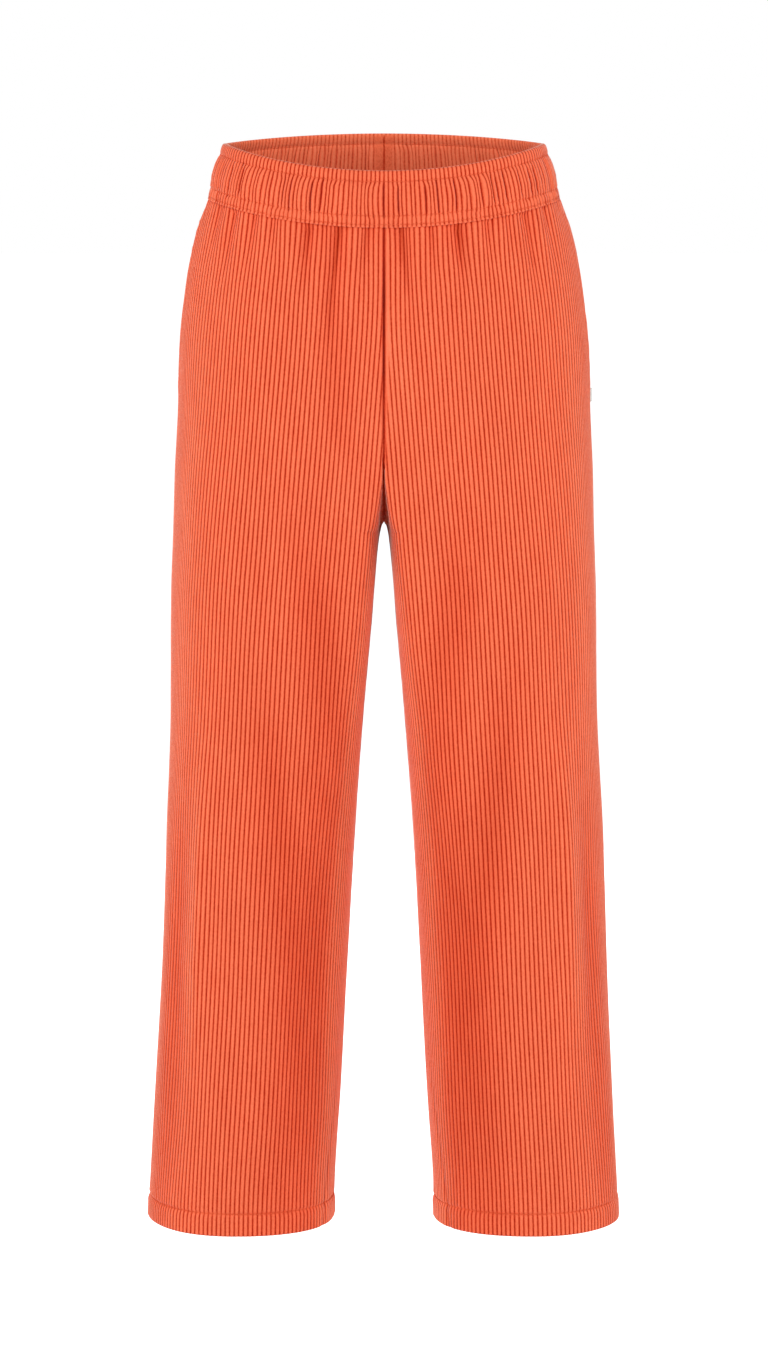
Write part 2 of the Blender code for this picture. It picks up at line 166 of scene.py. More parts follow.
CREASES = {name: [f for f in folds if f.top > WAIST] for name, folds in FOLDS.items()}
PUCKER_DEPTH = 0.0011  # of the small uneven gathers between the large ones
PUCKER_REACH = 0.030
TUCKED = 0.0014  # how far in a panel's top edge may lie, to stay under the waistband
TUCK_SLOPE = 0.55
GATHER_PULL = 0.38

# Painted shade and painted highlights, in metres: darker on the inner halves of the lower legs and in
# troughs, lighter on ridges and strips down the outer sides. across and lean as above. tone: how much
# lighter, or negative for darker.
Patch = namedtuple("Patch", "across lean top bottom width tone")
PAINTED_LIGHT_ROWS = {
    "front_right": [
        (-0.06, 0.004, 0.42, 1.14, 0.044, -0.25), (-0.02, -0.064, 0.27, 0.66, 0.021, -0.15),
        (0.01, -0.046, 0.42, 0.8, 0.018, -0.12), (0.108, -0.01, 0.02, 0.68, 0.02, 0.14),
        (0.064, 0, 0.46, 0.9, 0.008, 0.12), (0.093, 0, 0.54, 1.1, 0.018, -0.16),
        (-0.034, -0.024, 0.05, 0.3, 0.012, -0.08), (-0.118, 0.043, 0.78, 1.1, 0.0022, -0.42),
    ],
    "front_left": [
        (-0.058, 0.004, 0.44, 1.14, 0.044, -0.25), (-0.018, -0.062, 0.28, 0.64, 0.021, -0.14),
        (0.012, -0.044, 0.41, 0.78, 0.018, -0.12), (-0.072, 0, 0.09, 0.25, 0.014, 0.06),
        (0.108, -0.01, 0.02, 0.68, 0.02, 0.14), (0.066, -0.002, 0.45, 0.88, 0.008, 0.12),
        (0.094, 0, 0.52, 1.1, 0.018, -0.16), (-0.116, 0.053, 0.78, 1.1, 0.0022, -0.42),
    ],
    "back_right": [
        (-0.05, 0.004, 0.44, 1.14, 0.036, -0.16), (-0.03, -0.046, 0.28, 0.56, 0.02, -0.12),
        (0.07, 0, 0.44, 0.88, 0.009, 0.08), (0.1, 0, 0.54, 1.1, 0.018, -0.12),
    ],
    "back_left": [
        (-0.052, 0.004, 0.46, 1.14, 0.036, -0.16), (-0.026, -0.05, 0.29, 0.54, 0.02, -0.12),
        (0.072, 0, 0.46, 0.9, 0.009, 0.08), (0.102, 0, 0.52, 1.1, 0.018, -0.12),
    ],
}
PAINTED_LIGHT_PATCHES = {name: [Patch(*row) for row in rows] for name, rows in PAINTED_LIGHT_ROWS.items()}
GATHER_SHADE = 48.0  # painted shade: darker by this much for each metre of a trough's depth
CREASE_SHADE = 100.0  # painted shade: the same in the sharp crease at the top of a gather
LONG_CREASE_SHADE = 30.0  # painted shade: the same in the long creases of the legs, and a faint painted highlight on their ridges
INNER_PAINTED_LIGHT = 0.60  # painted light: how much paler the inner sides of the legs are, which face each other and get little light
MOTTLE = 0.035  # of the uneven lie of the pile

# Seams, hems and their stitches.
SEAM_DEPTH = 0.0015
SEAM_WIDTH = 0.0014
SEAM_BULK = 0.0005
HEM_PINCH = 0.0009
HEM_FLARE = 0.0008
HEM_ROLL_TOP = 0.9705
STITCH = 0.0034
THREAD = 0.00030  # half its thickness
STRIP = 0.0050  # the plain strip beside the centre front seam

# Waistband.
BAND_RIBS = 209
HEADER = 0.0098  # drop of its upper stitch line
LOWER_STITCHES = (0.0400, 0.0476)
# Rows of points: drop below the rim and swell off the plain form, in tenths of a millimetre.
BAND_OUTSIDE = [
    (495, -9), (497, -5), (495, -1), (489, 1), (482, 1), (476, -2), (470, 0), (459, 2), (446, 3),
    (432, 3), (418, 3), (407, 1), (400, 0), (392, 3), (382, 8), (366, 10), (342, 13), (315, 16),
    (285, 21), (255, 21), (225, 20), (195, 19), (170, 16), (148, 13), (130, 9), (115, 4), (106, 0),
    (98, -6), (90, -1), (80, 2), (64, 4), (46, 4), (30, 3), (17, 1), (8, -4), (2, -12),
]
BAND_INSIDE = [
    (0, -22), (2, -33), (8, -41), (19, -47), (40, -51), (68, -51), (86, -48), (98, -42), (110, -48),
    (128, -52), (160, -56), (200, -58), (250, -58), (300, -57), (350, -55), (390, -51), (408, -46),
    (440, -50), (474, -46), (490, -40),
]
LOWER_ZONE = 0.0395  # drop from which its ribs are calm again
HEADER_RISE = 0.00060  # from groove to crown above the upper stitch line
FOLD_RISE = 0.00085  # the same between the stitch lines
LOWER_RISE = 0.00070  # the same under the first lower stitch line
DEEP_SHARE = 0.26  # of the grooves are deep folds
SCALLOP = 0.0008  # how far each rib's foot hangs below the groove beside it
RIM_LENGTH = 0.82  # about halfway down the waistband
INSIDE_NAP = 0.78
INSIDE_TONE = 0.30  # how much paler the inside of the waistband is
PATCH_HALF_WIDTH = 0.0085  # the plain patch inside the centre back

# Colours from the grooves to the crowns, by the nap's brightness. The grooves' dark colour is partly
# the pile's own and partly painted shade.
PILE_AND_SHADE_COLOURS = [
    (0.00, (0.360, 0.010, 0.002)),
    (0.30, (0.500, 0.030, 0.007)),
    (0.64, (0.800, 0.126, 0.052)),
    (1.00, (0.900, 0.186, 0.089)),
]
# The pocket facings: a darker, shaded copy of the corduroy's colours, painted shade inside the pocket
# mouths.
SHADED_FACING_COLOURS = [(0.0, (0.36, 0.03, 0.01)), (1.0, (0.62, 0.11, 0.05))]

# Studio.
MIDDLE = (0, 0, -0.45)  # what the lights are aimed at
AMBIENT = 0.44  # strength of the white world, but for what the camera sees of it
FLOOR_HALF = 40.0
FLOOR_GAP = 0.16  # from the hems down to the floor
CAMERA_PLACE = (0.0, -4.0, 0.030)
CAMERA_TILT = 7.125  # degrees down
LENS = 114.94  # millimetres
SENSOR = 36.0


# The form, as in the CAD.

def curve_through(xs, ys, x):
    """The height at x of a smooth curve through the points, which rises and falls only as they do."""
    step = np.diff(xs)
    slope = np.diff(ys) / step
    lean = np.concatenate([slope[:1], np.zeros(len(slope) - 1), slope[-1:]])
    for i in range(1, len(slope)):
        if slope[i - 1] * slope[i] > 0:
            lean[i] = 2 / (1 / slope[i - 1] + 1 / slope[i])
    i = int(np.clip(np.searchsorted(xs, x) - 1, 0, len(step) - 1))
    t = (x - xs[i]) / step[i]
    start = (1 + 2 * t) * (1 - t) ** 2 * ys[i] + t * (1 - t) ** 2 * step[i] * lean[i]
    end = t * t * (3 - 2 * t) * ys[i + 1] + t * t * (t - 1) * step[i] * lean[i + 1]
    return float(start + end)


def section_at(drop):
    values = {name: curve_through(TABLE["drop"], TABLE[name], drop) for name in Section._fields}
    return Section(**values)


def ease(t):
    """From 0 to 1 as t goes from 0 to 1, level at both ends."""
    t = np.clip(t, 0, 1)
    return t * t * (3 - 2 * t)


def waist_lift(width_share, at_back):
    """How far the rim, or the seam under it, lies above its height at the side."""
    around = np.clip(1 - np.asarray(width_share) ** 2, 0, 1) ** RIM_BEND
    return np.where(at_back, BACK_RISE, -FRONT_DIP) * around


def half_front(row, at_back):
    """Points (x, y) of one half's front, or back, from the centre seam or inseam to the side."""
    sign = 1 if at_back else -1
    far = sign * (row.back if at_back else row.front)
    whole = abs(far - CROTCH_Y)
    rise = BACK_CURVE_RISE if at_back else FRONT_CURVE_RISE
    up = np.clip((CROTCH_DROP - row.drop) / rise, 0, 1)
    seam_reach = whole * math.sqrt(1 - (1 - up) ** 2)
    turn = math.pi / 2 * ease(np.linspace(0, 1, PATH_STEPS))
    sine = np.sin(turn)
    cosine = np.clip(np.cos(turn), 0, 1)
    y_in = CROTCH_Y + sign * (seam_reach + (whole - seam_reach) * sine ** (2 / row.corner))
    x_in = row.flat - (row.flat - row.inner) * cosine ** (2 / row.corner)
    reach = np.abs(y_in - CROTCH_Y)
    below = max(row.drop - CROTCH_DROP, 0) / ARCH_DROP
    opened = np.sqrt(np.clip((reach**2 - seam_reach**2) / SEAM_LIP**2, 0, None) + below)
    x_in = x_in - row.inner * (1 - opened / (1 + opened**4) ** 0.25)
    x_out = row.flat + (row.out - row.flat) * sine ** (2 / row.side)
    y_out = far * cosine ** (2 / row.side)
    return np.stack([np.append(x_in, x_out[1:]), np.append(y_in, y_out[1:])], axis=1)


class Ring:
    """The left half's outer surface at one drop: a path from the centre seam or the inseam,
    across the front, round the side and across the back, measured along its length."""

    def __init__(self, drop):
        self.row = section_at(drop)
        front = half_front(self.row, False)
        back = half_front(self.row, True)[::-1]
        self.points = np.concatenate([front, back[1:]])
        steps = np.linalg.norm(np.diff(self.points, axis=0), axis=1)
        self.along = np.append(0, np.cumsum(steps))
        half = len(front)
        self.side = self.along[half - 1] - self.row.forward
        self.end = self.along[-1]
        self.front_crease = np.interp(
            self.row.crease_front, self.points[:half, 0], self.along[:half]
        )
        self.back_crease = np.interp(
            self.row.crease_back, self.points[half:, 0][::-1], self.along[half:][::-1]
        )
        self.fade = 1 - ease((drop - SECTIONS[0].drop) / LIFT_FADE)

    def marks(self, at_back):
        """Where a panel starts at its inner seam, has its grain line and ends at the side."""
        if at_back:
            return self.end, self.back_crease, self.side
        return 0.0, self.front_crease, self.side

    def at(self, along):
        """Points of the surface, with the dip and the rise that the upper rows follow."""
        x = np.interp(along, self.along, self.points[:, 0])
        y = np.interp(along, self.along, self.points[:, 1])
        lift = waist_lift(x / self.row.out, y > 0)
        return np.stack([x, y, self.fade * lift - self.row.drop], axis=-1)


RINGS = {}


def ring(drop):
    drop = round(float(np.clip(drop, SECTIONS[0].drop, HEM_DROP)), 6)
    if drop not in RINGS:
        RINGS[drop] = Ring(drop)
    return RINGS[drop]


# Small tools.

class Waves:
    """Smooth noise over a surface, about -1 to 1: a sum of seeded waves."""

    def __init__(self, seed, across, down, count=9):
        draw = np.random.default_rng(seed)
        self.kx = 2 * np.pi / across * draw.uniform(0.5, 1.6, count) * draw.choice([-1, 1], count)
        self.kz = 2 * np.pi / down * draw.uniform(0.4, 1.5, count)
        self.phase = draw.uniform(0, 2 * np.pi, count)
        self.size = draw.uniform(0.5, 1.0, count) / count * 2.2

    def __call__(self, across, down):
        total = np.zeros(np.broadcast(across, down).shape)
        for kx, kz, phase, size in zip(self.kx, self.kz, self.phase, self.size):
            total += size * np.sin(kx * across + kz * down + phase)
        return total


def unit(vectors):
    return vectors / np.maximum(np.linalg.norm(vectors, axis=-1, keepdims=True), 1e-12)


def outwards_from(ahead):
    """The level direction to the right of each step ahead."""
    return unit(np.stack([ahead[..., 1], -ahead[..., 0], 0 * ahead[..., 0]], axis=-1))


def bell(distance, width):
    return np.exp(-((distance / width) ** 2))


def linked(name, data):
    obj = bpy.data.objects.new(name, data)
    bpy.context.scene.collection.objects.link(obj)
    return obj


def mesh_object(name, points, faces, attributes, material):
    """A smooth object from points and faces of any size, with a number for each point."""
    used = np.unique(np.concatenate([np.asarray(face).ravel() for face in faces]))
    place = np.full(len(points), -1)
    place[used] = np.arange(len(used))
    loops = []
    for face in faces:
        face = np.asarray(face)
        loops.extend(place[face].tolist() if face.ndim == 2 else [place[face].tolist()])
    mesh = bpy.data.meshes.new(name)
    mesh.from_pydata(points[used].tolist(), [], loops)
    for key, values in attributes.items():
        layer = mesh.attributes.new(key, "FLOAT", "POINT")
        layer.data.foreach_set("value", np.asarray(values, np.float32)[used])
    mesh.materials.append(material)
    mesh.shade_smooth()
    mesh.update()
    return linked(name, mesh)


def turned(faces, flip):
    return [np.asarray(face)[..., ::-1] for face in faces] if flip else faces


# Leg panels.

def panel_drops():
    """Rows: close together at the waist, round the crotch and at the hem."""
    spans = [
        (WAIST, 0.030, 0.0011), (0.030, 0.090, 0.0030), (0.090, 0.240, 0.0060),
        (0.240, 0.300, 0.0040), (0.300, 0.316, 0.0020), (0.316, 0.326, 0.0010),
        (0.326, 0.350, 0.0030), (0.350, 0.930, 0.0100), (0.930, 0.944, 0.0035),
        (0.944, 0.957, 0.0010), (0.957, 0.970, 0.0026),
    ]
    rows = [np.arange(top, bottom - step / 2, step) for top, bottom, step in spans]
    return np.concatenate(rows + [[0.9700, 0.9710, 0.9717, HEM_DROP]])


def fold_at(fold, reach, drops):
    """A fold's strength at each drop, from 0 to 1, and how far off its line each point is."""
    inside = np.clip((drops - fold.top) / (fold.bottom - fold.top), 0, 1)
    off = reach - fold.across - fold.lean * inside
    if fold.top <= WAIST:
        return (1 - inside**1.5) ** 1.5, off
    return np.sin(np.pi * inside) ** 1.3, off


def gather_pull(name, reach, drop):
    """How far the gathers draw the ribs sideways into themselves."""
    total = np.zeros_like(reach)
    for fold in GATHERS[name]:
        strength, off = fold_at(fold, reach, drop)
        total -= GATHER_PULL * strength * off * bell(off, fold.width * 1.7)
    return total


class Panel:
    """One leg panel on the wearer's left: its base surface, row by row and column by column."""

    def __init__(self, at_back, columns, drops, wobble):
        self.at_back = at_back
        self.columns = columns
        self.drops = drops
        rows = [self.row(drop, wobble) for drop in drops]
        parts = [np.array(part) for part in zip(*rows)]
        self.reach, self.points, self.normals, self.inner, self.outer = parts

    def spread(self, drop):
        """How far along the cloth each column lies from the grain line, and the seams' reach."""
        start, crease, side = ring(drop).marks(self.at_back)
        inner = abs(crease - start)
        outer = abs(side - crease)
        squeeze = 1 - WAIST_SQUEEZE * (1 - ease((drop - SECTIONS[0].drop) / SQUEEZE_FADE))
        return self.columns * squeeze, inner, outer

    def along(self, drop, reach):
        start, crease, side = ring(drop).marks(self.at_back)
        return crease + math.copysign(1, side - crease) * reach

    def row(self, drop, wobble):
        """One row's reaches, points and normals, and the reach of its inner and outer seam."""
        reach, inner, outer = self.spread(drop)
        reach = reach + wobble(self.columns, drop)
        open_by = 0.0 if self.at_back else MOUTH_GAPE * mouth_share(drop)
        low = -inner
        high = outer - open_by
        reach = np.clip(reach, low, high)
        along = self.along(drop, reach)
        here = ring(drop)
        across = here.at(along + SMALL) - here.at(along - SMALL)
        ends = []
        for nearby in (drop + SMALL, drop - SMALL):
            there, inner_there, outer_there = self.spread(nearby)
            there = np.clip(there + wobble(self.columns, drop), -inner_there, outer_there)
            there = np.where(reach <= low, -inner_there, there)
            there = np.where(reach >= high, outer_there, there)
            ends.append(ring(nearby).at(self.along(nearby, there)))
        normals = np.cross(ends[0] - ends[1], across)
        at_seam = reach <= low
        normals[at_seam, 0 if drop < CROTCH_DROP else 1] = 0
        if abs(drop - CROTCH_DROP) < SMALL:
            normals[at_seam] = (0, 0, -1)
        return reach, here.at(along), unit(normals), inner, outer - open_by

    def seam_columns(self, step=1):
        """For each row, the first and the last column that the seams leave, counted in steps."""
        reach = self.reach[:, ::step]
        at_inner = reach <= -self.inner[:, None] + AT_SEAM
        at_outer = reach >= self.outer[:, None] - AT_SEAM
        first = np.maximum(at_inner.sum(axis=1) - 1, 0)
        last = reach.shape[1] - np.maximum(at_outer.sum(axis=1), 1)
        return first, last


def mouth_share(drop):
    """0 at a pocket mouth's ends and outside it, 1 at its middle."""
    t = (drop - MOUTH_TOP) / (MOUTH_BOTTOM - MOUTH_TOP)
    return math.sin(math.pi * t) if 0 < t < 1 else 0.0


def hem_roll(drops):
    """From 0 to 1 as the hem's folded edge turns under."""
    return ease((drops - HEM_ROLL_TOP) / 0.0015) ** 2


def fold_relief(folds, reach, drops):
    total = np.zeros_like(reach)
    for fold in folds:
        strength, off = fold_at(fold, reach, drops)
        total -= fold.depth * strength * bell(off, fold.width)
    return total


# Painted shade and painted highlights: each patch darkens or lightens the colour where the light
# falls.
def painted_light_tone(patches, reach, drops):
    total = np.zeros_like(reach)
    for patch in patches:
        inside = np.clip((drops - patch.top) / (patch.bottom - patch.top), 0, 1)
        strength = ease(inside / 0.4) * ease((1 - inside) / 0.4)
        off = (reach - patch.across - patch.lean * inside) / patch.width
        total += patch.tone * strength * np.exp(-np.abs(off) ** 3)
    return total


def pucker_relief(seed, columns, drops, sharpness):
    """Small uneven gathers, each one or two ribs wide, that fade under a stitched line."""
    draw = np.random.default_rng(seed)
    places = np.arange(columns[0], columns[-1], WALE * 0.9)
    places = places + draw.uniform(-0.4, 0.4, len(places)) * WALE
    depth = draw.uniform(0, 1, len(places)) ** sharpness
    length = draw.uniform(0.35, 1.0, len(places))
    order = np.interp(columns, places, depth)
    longer = np.interp(columns, places, length)
    return order[None, :] * ease(1 - drops / (PUCKER_REACH * longer[None, :]))


def panel_relief(name, panel):
    """How far each point stands off the base surface, without and with the ribs, how bright the
    nap is there: 0 in a groove and 1 on a crown, with the grooves' darkness partly painted shade and
    a painted shadow under the waistband, and the tone, which is mostly painted light and shade."""
    drops = panel.drops[:, None]
    reach = panel.reach
    seed = sorted(FOLDS).index(name)
    to_inner = reach + panel.inner[:, None]
    to_outer = panel.outer[:, None] - reach
    under = drops - WAIST

    gathers = fold_relief(GATHERS[name], reach, drops)
    creases = fold_relief(CREASES[name], reach, drops)
    body = gathers + creases
    # The tone is mostly painted light: painted shade in the patches, troughs and creases, and paler
    # inner sides of the legs. The mottle is random, and the seams are darker.
    tone = painted_light_tone(PAINTED_LIGHT_PATCHES[name], reach, drops)
    tone += GATHER_SHADE * gathers + LONG_CREASE_SHADE * np.minimum(creases, 0.001)
    # Painted light: the inner sides of the legs, which face each other, are made paler.
    inwards = ease((-panel.normals[..., 0] - 0.72) / 0.25)
    tone += INNER_PAINTED_LIGHT * inwards * ease((drops - 0.33) / 0.05)
    # Painted shade in the sharp crease at the top of each gather.
    for fold in GATHERS[name]:
        strength, off = fold_at(fold, reach, drops)
        crease_shade = CREASE_SHADE * max(fold.depth - 0.0012, 0) * strength**1.4
        tone -= crease_shade * bell(off, 0.0018)
    tone += MOTTLE * Waves(seed + 61, 0.050, 0.11, 14)(reach, drops)
    tone += MOTTLE * Waves(seed + 71, 0.022, 0.06, 14)(reach, drops)
    body -= PUCKER_DEPTH * pucker_relief(seed + 11, panel.columns, under, 1.4)
    body += 0.0009 * Waves(seed + 21, 0.11, 0.55)(reach, drops)
    body -= 0.0004 * ease(1 - under / 0.0030)
    # The top edge stays under the waistband's wall: the gathers deepen from there.
    body = np.maximum(body, -TUCKED - np.maximum(under, 0) * TUCK_SLOPE)

    # Seams lie in a groove, with the seam allowances as a low ridge beside it.
    front_centre = bell(drops - 0.13, 0.09) * (0 if panel.at_back else 1)
    centre_depth = SEAM_DEPTH * (1 + 1.4 * front_centre)
    body -= centre_depth * bell(to_inner, SEAM_WIDTH)
    tone -= (0.25 + 0.75 * front_centre) * bell(to_inner, 0.0014)
    body += SEAM_BULK * bell(to_inner - 0.006, 0.004)
    in_mouth = ease((drops - MOUTH_TOP) / 0.012)
    in_mouth *= ease((MOUTH_BOTTOM - drops) / 0.012)
    body -= SEAM_DEPTH * (1 - 0.8 * in_mouth) * bell(to_outer, SEAM_WIDTH)
    body += SEAM_BULK * (1 + 0.8 * in_mouth) * bell(to_outer - 0.006, 0.005)
    if not panel.at_back:
        # The folded edge of the pocket mouth stands off the body, a little scalloped.
        waves = 0.6 * np.sin(drops * 2 * np.pi / 0.0085)
        waves += 0.5 * np.sin(drops * 2 * np.pi / 0.0131)
        body += in_mouth * (MOUTH_PROUD + 0.00035 * waves) * bell(to_outer, 0.0045)
        body += 0.0008 * bell(drops - MOUTH_BOTTOM - 0.002, 0.006) * bell(to_outer, 0.010)

    # The hem's one row of stitches pulls the cloth in, and the double cloth flares below it.
    to_stitch = drops - (HEM_DROP - HEM_DEPTH)
    uneven = Waves(seed + 31, 0.017, 0.20)(reach, drops)
    nearer = 1 + 0.8 * bell(to_inner, 0.030)
    body -= HEM_PINCH * (1 + 0.35 * uneven) * bell(to_stitch, 0.0013)
    body += 0.0004 * nearer * uneven * bell(to_stitch, 0.010)
    body += HEM_FLARE * ease((to_stitch - 0.0005) / 0.006)
    body -= 0.0016 * hem_roll(drops)

    phase = panel.columns / WALE
    profile = np.abs(np.sin(np.pi * phase))[None, :] ** RIB_ROUND
    edge = np.minimum(to_inner, to_outer)
    strength = 0.25 + 0.75 * ease((edge - 0.0004) / 0.0026)
    strength *= 1 - 0.45 * bell(to_stitch, 0.0016)
    strength *= 1 - 0.30 * in_mouth * bell(to_outer, 0.006)
    if name == "front_left":
        plain = ease((drops - WAIST) / 0.02) * ease((0.235 - drops) / 0.06)
        strength *= 1 - 0.85 * plain * ease((STRIP - to_inner) / 0.0012)
    height = 0.92 + 0.10 * Waves(seed + 41, 0.03, 0.9)(panel.columns[None, :], drops)
    ribs = RIB_RISE * height * strength * (profile - 0.62)

    # The nap: dark in the grooves, partly the pile's own colour and partly painted shade. It is darker
    # at the seams and along the hem's stitches, with a painted shadow just under the waistband's edge.
    nap_and_shade = 1 - (1 - np.abs(np.sin(np.pi * phase))[None, :] ** NAP_ROUND) * strength
    nap_and_shade = nap_and_shade * (1 - 0.75 * bell(to_inner, 0.0011)) * (1 - 0.55 * bell(to_outer, 0.0009))
    nap_and_shade = nap_and_shade * (1 - 0.35 * bell(under, 0.0016)) * (1 - 0.35 * bell(to_stitch, 0.0009))
    return body, body + ribs, nap_and_shade, tone


def panel_shell(name, material):
    """One leg panel as a closed shell: a ribbed outer face and a plain inner one."""
    place, side = name.split("_")
    at_back = place == "back"
    drops = panel_drops()
    count = int(WIDEST / WALE)
    columns = [(rib + step) * WALE for rib in range(-count, count) for step in RIB_STEPS]
    columns = np.array(columns + [count * WALE])
    sway = Waves(sorted(FOLDS).index(name) + 51, 0.09, 0.26)

    def wobble(across, down):
        return 0.0005 * sway(across, down) + gather_pull(name, across, down)

    panel = Panel(at_back, columns, drops, wobble)
    body, whole, nap_and_shade, tone = panel_relief(name, panel)
    outer_points = panel.points + panel.normals * whole[..., None]
    wall = CLOTH + CLOTH * ease((drops - (HEM_DROP - HEM_DEPTH)) / 0.001)[:, None]
    wall = wall - 0.0012 * hem_roll(drops)[:, None]
    every = len(RIB_STEPS)
    inner_points = (panel.points + panel.normals * (body - wall)[..., None])[:, ::every]
    for points in (outer_points, inner_points):
        points[..., 0] = np.maximum(points[..., 0], 0)
    rows, wide = outer_points.shape[:2]
    narrow = inner_points.shape[1]
    first, last = panel.seam_columns()
    first_in, last_in = panel.seam_columns(every)
    row = np.arange(rows)[:, None]
    outer_ids = row * wide + np.clip(np.arange(wide), first[:, None], last[:, None])
    inner_ids = np.clip(np.arange(narrow), first_in[:, None], last_in[:, None])
    inner_ids += rows * wide + row * narrow
    faces = grid_faces(outer_ids) + turned(grid_faces(inner_ids), True)
    for end in (0, -1):
        ids_out = outer_ids[:, end]
        ids_in = inner_ids[:, end]
        quads = np.stack([ids_out[:-1], ids_out[1:], ids_in[1:], ids_in[:-1]], axis=1)
        faces.append(quads if end == 0 else quads[:, ::-1])
    for r, forward in ((0, True), (rows - 1, False)):
        for k in range(narrow - 1):
            if inner_ids[r, k] == inner_ids[r, k + 1]:
                continue
            chain = list(dict.fromkeys(outer_ids[r, k * every : (k + 1) * every + 1].tolist()))
            loop = chain + [inner_ids[r, k + 1], inner_ids[r, k]]
            faces.append(np.array(loop[::-1] if forward else loop))
    points = np.concatenate([outer_points.reshape(-1, 3), inner_points.reshape(-1, 3)])
    nap_and_shade_values = np.concatenate([nap_and_shade.ravel(), np.full(rows * narrow, WRONG_SIDE_NAP)])
    tones = np.concatenate([tone.ravel(), np.zeros(rows * narrow)])
    mirrored = side == "right"
    if mirrored:
        points = points * (-1, 1, 1)
    attributes = {"nap_and_shade": nap_and_shade_values, "tone": tones}
    obj = mesh_object(name, points, turned(faces, mirrored != at_back), attributes, material)
    return obj, panel


def grid_ids(rows):
    return np.arange(len(rows) * len(rows[0])).reshape(len(rows), len(rows[0]))


def grid_faces(ids):
    """Quads between the rows of a grid of point numbers, with triangles where a row stops."""
    a, b = ids[:-1, :-1].ravel(), ids[:-1, 1:].ravel()
    d, c = ids[1:, :-1].ravel(), ids[1:, 1:].ravel()
    quads = np.stack([a, d, c, b], axis=1)
    top, bottom = a != b, d != c
    return [
        quads[top & bottom],
        quads[~top & bottom][:, :3],
        quads[top & ~bottom][:, [0, 1, 3]],
    ]


# Waistband.

def rim_path(below, swell, shares):
    """Points of the waistband at shares of its length round the waist, from the centre front
    by the wearer's left."""
    part = below / BAND_HEIGHT
    base = SECTIONS[0]
    width = RIM_HALF_WIDTH + (base.out - RIM_HALF_WIDTH) * part
    front = RIM_FRONT + (base.front - RIM_FRONT) * part
    back = RIM_BACK + (base.back - RIM_BACK) * part
    turn = np.linspace(0, 2 * math.pi, 1441)
    sine, cosine = np.sin(turn), np.cos(turn)
    power = 2 / WAIST_ROUND
    depth = np.where(cosine > 0, front, back)
    x = width * np.sign(sine) * np.abs(sine) ** power
    y = -depth * np.sign(cosine) * np.abs(cosine) ** power
    length = np.append(0, np.cumsum(np.hypot(np.diff(x), np.diff(y))))
    at = (shares % 1.0) * length[-1]
    points = []
    for nudge in (-RIM_STEP, 0.0, RIM_STEP):
        where = (at + nudge) % length[-1]
        points.append(np.stack([np.interp(where, length, x), np.interp(where, length, y)], axis=1))
    outwards = outwards_from(points[2] - points[0])
    x, y = points[1].T
    z = RIM_SIDE_Z + waist_lift(x / width, y > 0) - below
    return np.stack([x, y, z], axis=1) + outwards * np.asarray(swell)[..., None], outwards


